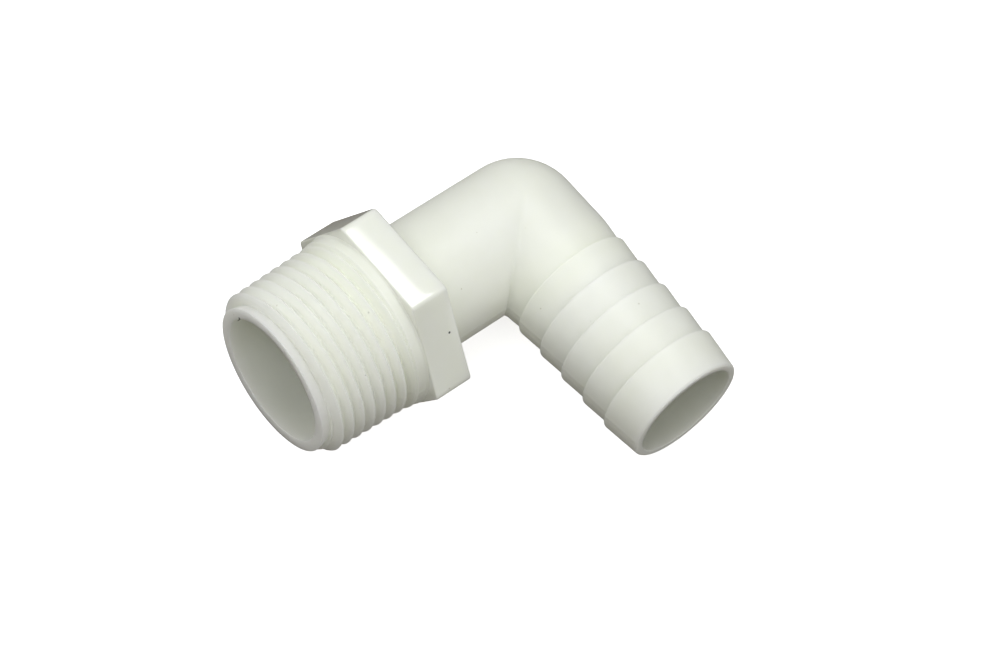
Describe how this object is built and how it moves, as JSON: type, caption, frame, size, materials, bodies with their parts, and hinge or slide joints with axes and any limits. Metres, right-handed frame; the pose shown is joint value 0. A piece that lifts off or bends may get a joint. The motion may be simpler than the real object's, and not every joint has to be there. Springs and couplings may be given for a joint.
{
  "type": "thru hull plumbing elbow",
  "caption": "White nylon 90 degree elbow fitting: tapered male pipe thread and hexagon at one end, barbed hose tail at the other.",
  "frame": {"origin": "on the thread's axis, in the plane of the hexagon's shoulder face, which the thread is screwed up to", "axes": "-Y along the thread towards its mouth, +X along the hose tail towards its mouth, +Z square to the plane of the elbow"},
  "size_m": [0.0541, 0.0549, 0.0278],
  "materials": {
    "spigot_nylon": "satin moulded nylon, slightly translucent",
    "hexagon_nylon": "satin moulded nylon, slightly translucent",
    "elbow_nylon": "satin moulded nylon, slightly translucent",
    "tail_nylon": "satin moulded nylon, slightly translucent"
  },
  "bodies": {
    "root": {"threaded_spigot": "spigot_nylon", "hex_collar": "hexagon_nylon", "elbow": "elbow_nylon", "hose_tail": "tail_nylon"}
  },
  "joints": []
}
